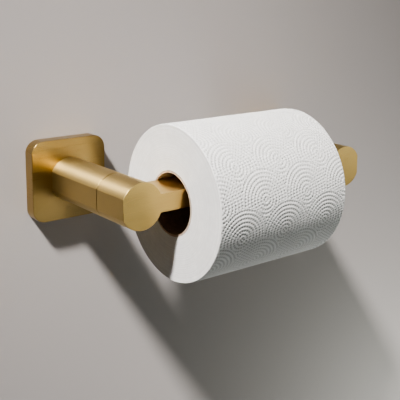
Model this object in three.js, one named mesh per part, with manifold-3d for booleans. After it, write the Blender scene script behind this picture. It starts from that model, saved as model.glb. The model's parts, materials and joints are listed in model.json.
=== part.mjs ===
// Wall-mounted toilet paper holder with two posts, a bar that swings up, and a roll of tissue on the bar.
//
// Frame: millimetres, +Z up, +X to the right along the wall, +Y into the wall. The origin is on the
// wall's surface, midway between the two posts and level with their axes. A "depth" is a distance
// out from the wall, so depth d lies at y = -d, and a negative depth is inside the wall.

import * as THREE from 'three';
import { mergeVertices } from 'three/addons/utils/BufferGeometryUtils.js';
import Module from 'manifold-3d';

const wasm = await Module();
wasm.setup();

// ---------------------------------------------------------------- overall sizes
const POST_SPACING = 173; // between the axes of the two posts
const PROJECTION = 95.6; // from the wall to the front faces

// ---------------------------------------------------------------- wall plates
const PLATE_WIDTH = 54;
const PLATE_HEIGHT = 54;
const PLATE_DEPTH = 9.4;
const PLATE_CORNER_RADIUS = 8.6;
const PLATE_FACE_THICKNESS = 3.4;
const PLATE_RIM_THICKNESS = 2.6;
const PLATE_EDGE_BEVEL = 0.6;

// ---------------------------------------------------------------- posts, cap and head
const POST_RADIUS = 14.5;
const POST_FLAT_CUT = 1.4; // how much the flat takes off the round
const POST_WALL = 6; // around the post's bore
const POST_WEB = 8; // the closed front end of the bore
const POST_EDGE_BEVEL = 0.35;
const SEAM_GAP = 0.6; // shadow gap between a post and what it carries

// ---------------------------------------------------------------- arm and rest
const ARM_DEPTH = 29.4; // front to back, for the cap, the bar and the head alike
const BAR_HEIGHT = 11.4;
const NOTCH_WIDTH = 6; // how far the rest is cut into the head
const SWING_CLEARANCE = 0.4; // between the bar's end and the notch
const SWING_DEGREES = 105;
const REST_PAD_THICKNESS = 1.2;
const REST_PAD_INSET = 0.4;

// ---------------------------------------------------------------- roll of tissue
const ROLL_RADIUS = 50;
const ROLL_LENGTH = 104;
const ROLL_OFFSET = 31.2; // from the left post's axis to the roll's near face
const CORE_BORE_RADIUS = 19.5;
const CORE_WALL = 1.3;

// ---------------------------------------------------------------- wall brackets and their screws
const BRACKET_MARGIN = 3.2; // between the bracket and the plate's rim
const BRACKET_DOVETAIL = 2; // how far the top and bottom edges lean in towards the wall
const BRACKET_CORNER_RADIUS = 4;
const BRACKET_WINDOW_RADIUS = 8;
const BRACKET_PLAY = 0.4; // between the bracket and the plate's face
const HOOK_WIDTH = 24;
const HOOK_DEPTH = 2.2;
const WALL_SCREW_SPACING = 29;
const WALL_SCREW_RADIUS = 2;
const WALL_SCREW_HEAD_RADIUS = 3.9;
const WALL_SCREW_LENGTH = 35;
const WALL_SCREW_TIP = 4;
const ANCHOR_RADIUS = 3;
const ANCHOR_LENGTH = 26;
const ANCHOR_COLLAR_RADIUS = 3.8;
const ANCHOR_COLLAR_DEPTH = 1;
const GRUB_SCREW_RADIUS = 2;
const GRUB_TIP_RADIUS = 1;
const GRUB_SOCKET_ACROSS_FLATS = 2;
const GRUB_SOCKET_DEPTH = 1.8;
const GRUB_RECESS = 0.4; // below the plate's edge

// ---------------------------------------------------------------- screws that hold the posts and the head
const POST_SCREW_RADIUS = 1.5;
const POST_SCREW_HEAD_RADIUS = 2.9;
const POST_SCREW_LENGTH = 14;
const HEAD_SCREW_RADIUS = 3;
const HEAD_SCREW_CAP_RADIUS = 5;
const HEAD_SCREW_CAP_DEPTH = 5;
const HEAD_SCREW_BITE = 12; // how far it goes into the head
const HEAD_SOCKET_ACROSS_FLATS = 5;
const HEAD_SOCKET_DEPTH = 3;
const HEAD_WASHER_RADIUS = 6;
const HEAD_SPIGOT_RADIUS = 10.5;
const CROSS_SLOT_WIDTH = 0.9;
const CROSS_SLOT_DEPTH = 1.3;
const CROSS_SLOT_REACH = 0.6; // of the head's radius

// ---------------------------------------------------------------- pivot in the left post
const SPINDLE_RADIUS = 3;
const SPINDLE_THREAD_RADIUS = 2.5;
const SPINDLE_BITE = 13; // how far it goes into the arm
const SPINDLE_END = 1.5; // past the nut
const BUSH_WALL = 1.6;
const BUSH_FLANGE_RADIUS = 6.6;
const BUSH_FLANGE_THICKNESS = 1.4;
const WAVE_WASHER_RADIUS = 5.4;
const WAVE_WASHER_THICKNESS = 0.35;
const WAVE_WASHER_HEIGHT = 0.9; // from its lowest to its highest point
const WAVES = 3;
const WASHER_RADIUS = 5.2;
const WASHER_THICKNESS = 1;
const NUT_ACROSS_FLATS = 8;
const NUT_THICKNESS = 4;
const NUT_COLLAR_RADIUS = 3.7;
const NUT_COLLAR_DEPTH = 1.6;
const STOP_PIN_RADIUS = 1.2;
const STOP_PIN_BITE = 5; // how far it goes into the arm
const STOP_PIN_REACH = 3; // how far it goes into the post
const STOP_PIN_DEGREES = 200; // from +X towards +Z, with the bar down
const STOP_SLOT_MARGIN = 0.7; // between the slot and the bush's flange
const STOP_PLAY_DEGREES = 1;

// ---------------------------------------------------------------- clearances and roundness
const CONTACT = 0.05; // between faces that bear on each other
const RUNNING = 0.15; // around a shaft that turns
const FIT = 0.3; // around a piece that stays put
const CUT_MARGIN = 1; // how far a cutter runs past the face that it opens
const ROUND_STEPS = 48;
const ROLL_STEPS = 80;
const SMALL_STEPS = 20;
const CORNER_STEPS = 4;

// ---------------------------------------------------------------- places that follow from the sizes
const armBack = PROJECTION - ARM_DEPTH;
const postFront = armBack - SEAM_GAP;
const webBack = postFront - POST_WEB;
const postBore = POST_RADIUS - POST_WALL;
const postFlat = POST_RADIUS - POST_FLAT_CUT;
const halfFlatAngle = Math.acos(postFlat / POST_RADIUS);
const pocketDepth = PLATE_DEPTH - PLATE_FACE_THICKNESS;
const pocketWidth = PLATE_WIDTH - 2 * PLATE_RIM_THICKNESS;
const pocketHeight = PLATE_HEIGHT - 2 * PLATE_RIM_THICKNESS;
const bracketDepth = pocketDepth - BRACKET_PLAY;
const bracketWidth = pocketWidth - 2 * BRACKET_MARGIN;
const bracketHeight = pocketHeight - 2 * BRACKET_MARGIN;
const barTop = BAR_HEIGHT / 2;
const barMiddle = PROJECTION - ARM_DEPTH / 2;
const ledge = -barTop - REST_PAD_THICKNESS - 2 * CONTACT;
const notchWall = NOTCH_WIDTH - POST_RADIUS; // from the right post's axis
const barReach = POST_SPACING + notchWall - SWING_CLEARANCE;
const barEnd = Math.sqrt(barReach ** 2 - barTop ** 2); // from the left post's axis
const coreRadius = CORE_BORE_RADIUS + CORE_WALL;
const rollDrop = Math.sqrt((CORE_BORE_RADIUS - FIT) ** 2 - (ARM_DEPTH / 2) ** 2) - barTop;
const postScrewPlace = POST_RADIUS - POST_WALL / 2;
const bushRadius = SPINDLE_RADIUS + RUNNING + BUSH_WALL;
const flangeFront = armBack - RUNNING;
const flangeBack = flangeFront - BUSH_FLANGE_THICKNESS;
const waveFront = webBack - CONTACT;
const spindleShoulder = waveFront - WAVE_WASHER_HEIGHT - CONTACT;
const washerFront = spindleShoulder - CONTACT;
const nutFront = washerFront - WASHER_THICKNESS - CONTACT;
const nutBack = nutFront - NUT_THICKNESS;
const stopPlace = BUSH_FLANGE_RADIUS + STOP_SLOT_MARGIN + STOP_PIN_RADIUS + FIT;

// ---------------------------------------------------------------- materials
function material(color, roughness, metalness) {
  return () => new THREE.MeshStandardMaterial({ color, roughness, metalness });
}

const brass = material(0xb08d4f, 0.32, 1);
const zinc = material(0x9b9c9a, 0.5, 1);
const steel = material(0xb9babc, 0.35, 1);
const nylon = material(0xe8e4d8, 0.6, 0);
const anchorPlastic = material(0x8d9297, 0.7, 0);
const rubber = material(0x2e2c2a, 0.85, 0);
const tissue = material(0xe2e0dd, 0.95, 0);
const cardboard = material(0xc8a587, 0.9, 0);

// ---------------------------------------------------------------- joining and cutting
function solidOf(geometry) {
  const plain = geometry.clone();
  plain.deleteAttribute('normal');
  plain.deleteAttribute('uv');
  const merged = mergeVertices(plain, 1e-4);
  const corners = merged.index.array;
  const triangles = [];
  for (let i = 0; i < corners.length; i += 3) {
    const [a, b, c] = corners.slice(i, i + 3);
    if (a !== b && b !== c && c !== a) triangles.push(a, b, c);
  }
  return new wasm.Manifold(
    new wasm.Mesh({
      numProp: 3,
      vertProperties: new Float32Array(merged.attributes.position.array),
      triVerts: new Uint32Array(triangles),
    }),
  );
}

function geometryOf(solid) {
  const mesh = solid.getMesh();
  const geometry = new THREE.BufferGeometry();
  const positions = new Float32Array(mesh.vertProperties);
  geometry.setAttribute('position', new THREE.BufferAttribute(positions, 3));
  geometry.setIndex(new THREE.BufferAttribute(new Uint32Array(mesh.triVerts), 1));
  return geometry;
}

function cut(geometry, ...tools) {
  return geometryOf(tools.reduce((solid, tool) => solid.subtract(solidOf(tool)), solidOf(geometry)));
}

function join(geometry, ...others) {
  return geometryOf(others.reduce((solid, other) => solid.add(solidOf(other)), solidOf(geometry)));
}

// ---------------------------------------------------------------- basic shapes
// An outline drawn in (x, z), extruded from one depth to another.
function extruded(outline, fromDepth, toDepth, { steps = CORNER_STEPS, bevel = 0 } = {}) {
  const geometry = new THREE.ExtrudeGeometry(outline, {
    depth: toDepth - fromDepth - 2 * bevel,
    curveSegments: steps,
    bevelEnabled: bevel > 0,
    bevelThickness: bevel,
    bevelSize: bevel,
    bevelOffset: -bevel,
    bevelSegments: 1,
  });
  return geometry.translate(0, 0, fromDepth + bevel).rotateX(Math.PI / 2);
}

// An outline drawn in (depth, z), extruded along X about the middle.
function extrudedAlongX(outline, width) {
  const geometry = new THREE.ExtrudeGeometry(outline, { depth: width, bevelEnabled: false });
  return geometry.translate(0, 0, -width / 2).rotateX(Math.PI / 2).rotateZ(-Math.PI / 2);
}

// A profile of [radius, depth] points, turned about the depth axis. Its outer side runs away from
// the wall. A profile that doesn't start on the axis closes on itself.
function turned(profile, steps = SMALL_STEPS) {
  const points = profile.map(([radius, depth]) => new THREE.Vector2(radius, -depth));
  if (profile[0][0] > 0) points.push(points[0]);
  return new THREE.LatheGeometry(points.reverse(), steps);
}

function rod(radius, fromDepth, toDepth, steps = SMALL_STEPS) {
  return turned([[0, fromDepth], [radius, fromDepth], [radius, toDepth], [0, toDepth]], steps);
}

function ring(inner, outer, fromDepth, toDepth, steps = SMALL_STEPS) {
  return turned([[inner, fromDepth], [outer, fromDepth], [outer, toDepth], [inner, toDepth]], steps);
}

function block([x0, x1], [depth0, depth1], [z0, z1]) {
  const geometry = new THREE.BoxGeometry(x1 - x0, depth1 - depth0, z1 - z0);
  return geometry.translate((x0 + x1) / 2, -(depth0 + depth1) / 2, (z0 + z1) / 2);
}

// Everything closer to the wall than a depth.
function behind(depth) {
  const reach = PLATE_WIDTH + PLATE_HEIGHT;
  return block([-reach, reach], [-reach, depth], [-reach, reach]);
}

function roundedRectangle(width, height, radius) {
  const outline = new THREE.Shape();
  const x = width / 2 - radius;
  const z = height / 2 - radius;
  outline.absarc(x, z, radius, 0, 0.5 * Math.PI);
  outline.absarc(-x, z, radius, 0.5 * Math.PI, Math.PI);
  outline.absarc(-x, -z, radius, Math.PI, 1.5 * Math.PI);
  outline.absarc(x, -z, radius, 1.5 * Math.PI, 2 * Math.PI);
  return outline;
}

function hexagon(acrossFlats) {
  const radius = acrossFlats / Math.sqrt(3);
  const angles = Array.from({ length: 6 }, (_, i) => (i * Math.PI) / 3);
  return new THREE.Shape(
    angles.map((angle) => new THREE.Vector2(radius * Math.cos(angle), radius * Math.sin(angle))),
  );
}

// A round with one flat, which faces -X on the left side and +X on the right.
function flattedRound(side) {
  const outline = new THREE.Shape();
  const middle = side < 0 ? Math.PI : 0;
  outline.absarc(0, 0, POST_RADIUS, middle + halfFlatAngle, middle + 2 * Math.PI - halfFlatAngle);
  return outline;
}

// A countersunk screw, or the hole for one when it has a clearance and a margin past its face.
function countersunk({ radius, headRadius, face, end, tip = 0, clearance = 0, margin = 0 }) {
  const along = Math.sign(end - face);
  const profile = [
    [0, face - along * margin],
    [headRadius + clearance, face - along * margin],
    [headRadius + clearance, face],
    [radius + clearance, face + along * (headRadius - radius)],
    [radius + clearance, end - along * tip],
    [tip > 0 ? 0 : radius + clearance, end],
    [0, end],
  ];
  return turned(along > 0 ? profile : profile.reverse());
}

function crossSlots(headRadius, face, along) {
  const half = headRadius * CROSS_SLOT_REACH;
  const ends = [face - along * CUT_MARGIN, face + along * CROSS_SLOT_DEPTH].sort((a, b) => a - b);
  const thin = [-CROSS_SLOT_WIDTH / 2, CROSS_SLOT_WIDTH / 2];
  return [block([-half, half], ends, thin), block(thin, ends, [-half, half])];
}

function piece(name, geometry, makeMaterial, x = 0, z = 0) {
  const mesh = new THREE.Mesh(geometry, makeMaterial());
  mesh.name = name;
  mesh.position.set(x, 0, z);
  return mesh;
}

// ---------------------------------------------------------------- wall plate and wall bracket
function bracketHalfHeight(depth) {
  return bracketHeight / 2 - BRACKET_DOVETAIL * (1 - depth / bracketDepth);
}

const wallScrew = {
  radius: WALL_SCREW_RADIUS,
  headRadius: WALL_SCREW_HEAD_RADIUS,
  face: bracketDepth,
};

const postScrew = {
  radius: POST_SCREW_RADIUS,
  headRadius: POST_SCREW_HEAD_RADIUS,
  face: pocketDepth,
};

// The plate is a tray with its mouth to the wall. A hook inside its top rim catches the bracket.
function wallPlate() {
  const outline = roundedRectangle(PLATE_WIDTH, PLATE_HEIGHT, PLATE_CORNER_RADIUS);
  const slab = extruded(outline, -2 * CUT_MARGIN, PLATE_DEPTH, { bevel: PLATE_EDGE_BEVEL });
  const pocketOutline = roundedRectangle(
    pocketWidth,
    pocketHeight,
    PLATE_CORNER_RADIUS - PLATE_RIM_THICKNESS,
  );
  const pocket = extruded(pocketOutline, -3 * CUT_MARGIN, pocketDepth);
  const tray = cut(slab, behind(0), pocket);

  const hookOutline = new THREE.Shape([
    new THREE.Vector2(FIT, bracketHalfHeight(FIT) + FIT),
    new THREE.Vector2(FIT + HOOK_DEPTH, bracketHalfHeight(FIT + HOOK_DEPTH) + FIT),
    new THREE.Vector2(FIT + HOOK_DEPTH, PLATE_HEIGHT / 2 - PLATE_RIM_THICKNESS / 2),
    new THREE.Vector2(FIT, PLATE_HEIGHT / 2 - PLATE_RIM_THICKNESS / 2),
  ]);
  const hooked = join(tray, extrudedAlongX(hookOutline, HOOK_WIDTH));

  const mouth = rod(postBore, 0, PLATE_DEPTH + CUT_MARGIN, ROUND_STEPS / 2);
  const screwHole = countersunk({
    ...postScrew,
    end: PLATE_DEPTH + CUT_MARGIN,
    clearance: RUNNING,
    margin: CUT_MARGIN,
  });
  const grubHole = rod(GRUB_SCREW_RADIUS + CONTACT, 0, PLATE_RIM_THICKNESS + 2 * CUT_MARGIN)
    .rotateX(Math.PI / 2)
    .translate(0, -bracketDepth / 2, CUT_MARGIN + PLATE_RIM_THICKNESS - PLATE_HEIGHT / 2);
  return cut(
    hooked,
    mouth,
    screwHole.clone().translate(0, 0, postScrewPlace),
    screwHole.clone().translate(0, 0, -postScrewPlace),
    grubHole,
  );
}

function wallBracket() {
  const outline = roundedRectangle(bracketWidth, bracketHeight, BRACKET_CORNER_RADIUS);
  const plate = extruded(outline, 0, bracketDepth);
  const lean = BRACKET_DOVETAIL / bracketDepth;
  const aboveSlope = new THREE.Shape([
    new THREE.Vector2(-CUT_MARGIN, bracketHalfHeight(0) - lean * CUT_MARGIN),
    new THREE.Vector2(bracketDepth + CUT_MARGIN, bracketHeight / 2 + lean * CUT_MARGIN),
    new THREE.Vector2(bracketDepth + CUT_MARGIN, bracketHeight),
    new THREE.Vector2(-CUT_MARGIN, bracketHeight),
  ]);
  const topCut = extrudedAlongX(aboveSlope, bracketWidth + 2 * CUT_MARGIN);
  const window = rod(BRACKET_WINDOW_RADIUS, -CUT_MARGIN, bracketDepth + CUT_MARGIN, ROUND_STEPS / 2);
  const hole = countersunk({ ...wallScrew, end: -CUT_MARGIN, clearance: RUNNING, margin: CUT_MARGIN });
  return cut(
    plate,
    topCut,
    topCut.clone().rotateY(Math.PI),
    window,
    hole.clone().translate(0, 0, WALL_SCREW_SPACING / 2),
    hole.clone().translate(0, 0, -WALL_SCREW_SPACING / 2),
  );
}

function wallScrewShape() {
  const end = bracketDepth - WALL_SCREW_LENGTH;
  const screw = countersunk({ ...wallScrew, end, tip: WALL_SCREW_TIP });
  return cut(screw, ...crossSlots(WALL_SCREW_HEAD_RADIUS, bracketDepth, -1));
}

function wallAnchorShape() {
  const bore = WALL_SCREW_RADIUS + FIT;
  return turned([
    [bore, -ANCHOR_LENGTH],
    [ANCHOR_RADIUS, -ANCHOR_LENGTH],
    [ANCHOR_RADIUS, -ANCHOR_COLLAR_DEPTH],
    [ANCHOR_COLLAR_RADIUS, -ANCHOR_COLLAR_DEPTH],
    [ANCHOR_COLLAR_RADIUS, -CONTACT],
    [bore, -CONTACT],
  ]);
}

// A socket set screw along Z, in the plate's lower rim, whose cone bears on the bracket's slope.
function grubScrewShape() {
  const bottom = -PLATE_HEIGHT / 2 + GRUB_RECESS;
  const slope = BRACKET_DOVETAIL / bracketDepth;
  const top = -bracketHalfHeight(bracketDepth / 2) - slope * GRUB_TIP_RADIUS - FIT;
  const length = top - bottom;
  const coneStart = length - (GRUB_SCREW_RADIUS - GRUB_TIP_RADIUS);
  const screw = turned([
    [0, 0],
    [GRUB_SCREW_RADIUS, 0],
    [GRUB_SCREW_RADIUS, coneStart],
    [GRUB_TIP_RADIUS, length],
    [0, length],
  ]);
  const socket = extruded(hexagon(GRUB_SOCKET_ACROSS_FLATS), -CUT_MARGIN, GRUB_SOCKET_DEPTH);
  return cut(screw, socket).rotateX(-Math.PI / 2).translate(0, -bracketDepth / 2, bottom);
}

// ---------------------------------------------------------------- posts
function postBlank(side) {
  const outline = flattedRound(side);
  const bevel = POST_EDGE_BEVEL;
  const body = extruded(outline, PLATE_DEPTH - CUT_MARGIN, postFront, { steps: ROUND_STEPS / 2, bevel });
  const bore = rod(postBore, 0, webBack, ROUND_STEPS / 2);
  const pilot = rod(
    POST_SCREW_RADIUS + CONTACT,
    0,
    pocketDepth + POST_SCREW_LENGTH + CUT_MARGIN,
    SMALL_STEPS,
  );
  return cut(
    body,
    behind(PLATE_DEPTH + CONTACT),
    bore,
    pilot.clone().translate(0, 0, postScrewPlace),
    pilot.clone().translate(0, 0, -postScrewPlace),
  );
}

function postScrewShape() {
  const screw = countersunk({ ...postScrew, end: pocketDepth + POST_SCREW_LENGTH });
  return cut(screw, ...crossSlots(POST_SCREW_HEAD_RADIUS, pocketDepth, 1));
}

// The slot that the stop pin travels in: a band of arc with round ends.
function stopSlot() {
  const toRadians = Math.PI / 180;
  const start = (STOP_PIN_DEGREES - STOP_PLAY_DEGREES) * toRadians;
  const end = (STOP_PIN_DEGREES + SWING_DEGREES + STOP_PLAY_DEGREES) * toRadians;
  const half = STOP_PIN_RADIUS + FIT;
  const outline = new THREE.Shape();
  outline.absarc(0, 0, stopPlace + half, start, end);
  outline.absarc(stopPlace * Math.cos(end), stopPlace * Math.sin(end), half, end, end + Math.PI);
  outline.absarc(0, 0, stopPlace - half, end, start, true);
  outline.absarc(
    stopPlace * Math.cos(start),
    stopPlace * Math.sin(start),
    half,
    start + Math.PI,
    start + 2 * Math.PI,
  );
  const floor = postFront - STOP_PIN_REACH - FIT;
  return extruded(outline, floor, postFront + CUT_MARGIN, { steps: SMALL_STEPS / 2 });
}

function leftPost() {
  const bushHole = rod(bushRadius + CONTACT, webBack - CUT_MARGIN, postFront + CUT_MARGIN);
  const flangeSeat = rod(BUSH_FLANGE_RADIUS + CONTACT, flangeBack - CONTACT, postFront + CUT_MARGIN);
  return cut(postBlank(-1), bushHole, flangeSeat, stopSlot());
}

function rightPost() {
  const screwHole = rod(HEAD_SCREW_RADIUS + RUNNING, webBack - CUT_MARGIN, postFront + CUT_MARGIN);
  return cut(postBlank(1), screwHole);
}

// ---------------------------------------------------------------- pivot
function pivotBush() {
  const bore = SPINDLE_RADIUS + RUNNING;
  return turned([
    [bore, webBack],
    [bushRadius, webBack],
    [bushRadius, flangeBack],
    [BUSH_FLANGE_RADIUS, flangeBack],
    [BUSH_FLANGE_RADIUS, flangeFront],
    [bore, flangeFront],
  ]);
}

function pivotSpindle() {
  const back = nutBack - NUT_COLLAR_DEPTH - SPINDLE_END;
  return turned([
    [0, back],
    [SPINDLE_THREAD_RADIUS, back],
    [SPINDLE_THREAD_RADIUS, spindleShoulder],
    [SPINDLE_RADIUS, spindleShoulder],
    [SPINDLE_RADIUS, armBack + SPINDLE_BITE],
    [0, armBack + SPINDLE_BITE],
  ]);
}

// A flat ring whose depth rises and falls around its circle.
function waveWasher() {
  const middle = waveFront - WAVE_WASHER_HEIGHT / 2;
  const swing = (WAVE_WASHER_HEIGHT - WAVE_WASHER_THICKNESS) / 2;
  const half = WAVE_WASHER_THICKNESS / 2;
  const washer = ring(
    SPINDLE_RADIUS + FIT,
    WAVE_WASHER_RADIUS,
    middle - half,
    middle + half,
    ROUND_STEPS,
  );
  const points = washer.attributes.position;
  for (let i = 0; i < points.count; i += 1) {
    const angle = Math.atan2(points.getZ(i), points.getX(i));
    points.setY(i, points.getY(i) + swing * Math.sin(WAVES * angle));
  }
  return washer;
}

function lockNut() {
  const body = extruded(hexagon(NUT_ACROSS_FLATS), nutBack, nutFront);
  const collar = rod(NUT_COLLAR_RADIUS, nutBack - NUT_COLLAR_DEPTH, nutBack + CUT_MARGIN);
  const thread = rod(
    SPINDLE_THREAD_RADIUS + CONTACT,
    nutBack - NUT_COLLAR_DEPTH - CUT_MARGIN,
    nutFront + CUT_MARGIN,
  );
  return cut(join(body, collar), thread);
}

function stopPinPlace() {
  const angle = (STOP_PIN_DEGREES * Math.PI) / 180;
  return [stopPlace * Math.cos(angle), stopPlace * Math.sin(angle)];
}

// ---------------------------------------------------------------- arm and head
// The cap and the bar are one outline, so that their front and back faces are flush.
function armOutline() {
  const outline = new THREE.Shape();
  const barAngle = Math.asin(barTop / POST_RADIUS);
  outline.moveTo(barEnd, barTop);
  outline.absarc(0, 0, POST_RADIUS, barAngle, Math.PI - halfFlatAngle);
  outline.absarc(0, 0, POST_RADIUS, Math.PI + halfFlatAngle, 2 * Math.PI - barAngle);
  outline.lineTo(barEnd, -barTop);
  outline.closePath();
  return outline;
}

function armShape() {
  const steps = ROUND_STEPS / 4;
  const body = extruded(armOutline(), armBack, PROJECTION, { steps, bevel: POST_EDGE_BEVEL });
  const spindleHole = rod(
    SPINDLE_RADIUS + CONTACT,
    armBack - CUT_MARGIN,
    armBack + SPINDLE_BITE + CONTACT,
  );
  const [x, z] = stopPinPlace();
  const pinHole = rod(
    STOP_PIN_RADIUS + CONTACT,
    armBack - CUT_MARGIN,
    armBack + STOP_PIN_BITE + CONTACT,
  ).translate(x, 0, z);
  return cut(body, spindleHole, pinHole);
}

// The head has the cap's outline, mirrored, with a notch on its inner side for the bar's end.
function headShape() {
  const steps = ROUND_STEPS / 2;
  const body = extruded(flattedRound(1), armBack, PROJECTION, { steps, bevel: POST_EDGE_BEVEL });
  const spigot = rod(HEAD_SPIGOT_RADIUS, postFront + CONTACT, armBack + CUT_MARGIN, ROUND_STEPS / 2);
  const beyond = POST_RADIUS + CUT_MARGIN;
  const notch = block(
    [-beyond, notchWall],
    [postFront - CUT_MARGIN, PROJECTION + CUT_MARGIN],
    [ledge, beyond],
  );
  const thread = rod(
    HEAD_SCREW_RADIUS + CONTACT,
    postFront - CUT_MARGIN,
    armBack + HEAD_SCREW_BITE + CONTACT,
  );
  return cut(join(body, spigot), notch, thread);
}

function headScrew() {
  const underCap = webBack - WASHER_THICKNESS - 2 * CONTACT;
  const back = underCap - HEAD_SCREW_CAP_DEPTH;
  const screw = turned([
    [0, back],
    [HEAD_SCREW_CAP_RADIUS, back],
    [HEAD_SCREW_CAP_RADIUS, underCap],
    [HEAD_SCREW_RADIUS, underCap],
    [HEAD_SCREW_RADIUS, armBack + HEAD_SCREW_BITE],
    [0, armBack + HEAD_SCREW_BITE],
  ]);
  const socket = extruded(hexagon(HEAD_SOCKET_ACROSS_FLATS), back - CUT_MARGIN, back + HEAD_SOCKET_DEPTH);
  return cut(screw, socket);
}

function restPad() {
  const inner = -Math.sqrt(POST_RADIUS ** 2 - ledge ** 2);
  return block(
    [inner + REST_PAD_INSET, notchWall - REST_PAD_INSET],
    [armBack + REST_PAD_INSET, PROJECTION - REST_PAD_INSET],
    [ledge + CONTACT, -barTop - CONTACT],
  );
}

// ---------------------------------------------------------------- assembly
// Both sides have the same plate, bracket and screws.
function wallSide(prefix) {
  const side = new THREE.Group();
  side.add(piece(`${prefix}_backplate`, wallPlate(), brass));
  side.add(piece(`${prefix}_wall_bracket`, wallBracket(), zinc));
  side.add(piece(`${prefix}_grub_screw`, grubScrewShape(), steel));
  for (const [place, sign] of [['upper', 1], ['lower', -1]]) {
    const wallZ = (sign * WALL_SCREW_SPACING) / 2;
    side.add(piece(`${prefix}_wall_screw_${place}`, wallScrewShape(), steel, 0, wallZ));
    side.add(piece(`${prefix}_wall_anchor_${place}`, wallAnchorShape(), anchorPlastic, 0, wallZ));
    side.add(piece(`${prefix}_post_screw_${place}`, postScrewShape(), steel, 0, sign * postScrewPlace));
  }
  return side;
}

function leftSide() {
  const side = wallSide('left');
  side.add(piece('left_post', leftPost(), brass));
  side.add(piece('pivot_bush', pivotBush(), nylon));
  side.position.x = -POST_SPACING / 2;
  return side;
}

function rightSide() {
  const side = wallSide('right');
  const washer = ring(
    HEAD_SCREW_RADIUS + RUNNING,
    HEAD_WASHER_RADIUS,
    webBack - CONTACT - WASHER_THICKNESS,
    webBack - CONTACT,
  );
  side.add(piece('right_post', rightPost(), brass));
  side.add(piece('right_head', headShape(), brass));
  side.add(piece('right_head_screw', headScrew(), steel));
  side.add(piece('right_head_washer', washer, steel));
  side.add(piece('rest_pad', restPad(), rubber));
  side.position.x = POST_SPACING / 2;
  return side;
}

// What swings about the left post's axis.
function swingingArm() {
  const arm = new THREE.Group();
  const washer = ring(
    SPINDLE_THREAD_RADIUS + RUNNING,
    WASHER_RADIUS,
    washerFront - WASHER_THICKNESS,
    washerFront,
  );
  const [pinX, pinZ] = stopPinPlace();
  const pin = rod(STOP_PIN_RADIUS, postFront - STOP_PIN_REACH, armBack + STOP_PIN_BITE);
  arm.add(piece('arm', armShape(), brass));
  arm.add(piece('pivot_spindle', pivotSpindle(), steel));
  arm.add(piece('pivot_wave_washer', waveWasher(), steel));
  arm.add(piece('pivot_washer', washer, steel));
  arm.add(piece('pivot_lock_nut', lockNut(), steel));
  arm.add(piece('stop_pin', pin, steel, pinX, pinZ));
  arm.position.x = -POST_SPACING / 2;
  return arm;
}

// The roll hangs with the top of its core on the bar's two upper edges.
function tissueRoll() {
  const roll = new THREE.Group();
  const core = ring(CORE_BORE_RADIUS, coreRadius, 0, ROLL_LENGTH, ROLL_STEPS);
  const paper = ring(coreRadius + CONTACT, ROLL_RADIUS, 0, ROLL_LENGTH, ROLL_STEPS);
  roll.add(piece('cardboard_core', core, cardboard));
  roll.add(piece('tissue_roll', paper, tissue));
  roll.rotation.z = Math.PI / 2;
  roll.position.set(ROLL_OFFSET - POST_SPACING / 2, -barMiddle, -rollDrop);
  return roll;
}

const group = new THREE.Group();
group.name = 'toilet_paper_holder';
group.add(leftSide(), rightSide(), swingingArm(), tissueRoll());

export default group;
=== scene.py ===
import json
import math

import bmesh
import bpy
import numpy as np
from mathutils import Matrix, Vector


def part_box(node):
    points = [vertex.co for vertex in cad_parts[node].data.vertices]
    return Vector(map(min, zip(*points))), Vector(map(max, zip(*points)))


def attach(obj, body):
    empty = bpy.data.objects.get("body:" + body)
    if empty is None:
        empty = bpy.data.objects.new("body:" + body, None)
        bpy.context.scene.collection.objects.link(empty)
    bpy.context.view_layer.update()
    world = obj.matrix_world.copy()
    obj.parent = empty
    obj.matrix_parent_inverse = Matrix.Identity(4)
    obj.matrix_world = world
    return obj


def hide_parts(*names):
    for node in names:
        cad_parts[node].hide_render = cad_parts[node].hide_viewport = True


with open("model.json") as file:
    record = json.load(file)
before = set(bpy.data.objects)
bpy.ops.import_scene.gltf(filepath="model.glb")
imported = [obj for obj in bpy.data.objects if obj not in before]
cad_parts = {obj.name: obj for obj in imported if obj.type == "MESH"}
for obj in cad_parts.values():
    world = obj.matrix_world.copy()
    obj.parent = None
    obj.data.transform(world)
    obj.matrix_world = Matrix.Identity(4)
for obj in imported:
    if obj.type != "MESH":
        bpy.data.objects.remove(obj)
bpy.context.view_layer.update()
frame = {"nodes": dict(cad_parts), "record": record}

SEED = 7

# ------------------------------------------------------------------ sizes, in metres, from the frame
PLATE_LO, PLATE_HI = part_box("left_backplate")
POST_LO, POST_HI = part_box("left_post")
ARM_LO, ARM_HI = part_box("arm")
HEAD_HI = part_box("right_head")[1]
ROLL_LO, ROLL_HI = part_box("tissue_roll")
CORE_LO, CORE_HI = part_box("cardboard_core")
PAD_LO, PAD_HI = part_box("rest_pad")

LEFT_X = (PLATE_LO.x + PLATE_HI.x) / 2
RIGHT_X = -LEFT_X
PLATE_SIZE = PLATE_HI.z - PLATE_LO.z
PLATE_DEPTH = -PLATE_LO.y
POST_RADIUS = POST_HI.z
POST_FLAT = LEFT_X - POST_LO.x
POST_FRONT = POST_LO.y
POST_BACK = POST_HI.y
ARM_FRONT = ARM_LO.y
ARM_BACK = ARM_HI.y
BAR_END = ARM_HI.x - LEFT_X
ROLL_RADIUS = (ROLL_HI.z - ROLL_LO.z) / 2
ROLL_LENGTH = ROLL_HI.x - ROLL_LO.x
ROLL_CENTRE = Vector((ROLL_LO.x, (ROLL_LO.y + ROLL_HI.y) / 2, (ROLL_LO.z + ROLL_HI.z) / 2))
CORE_RADIUS = (CORE_HI.z - CORE_LO.z) / 2

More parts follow.
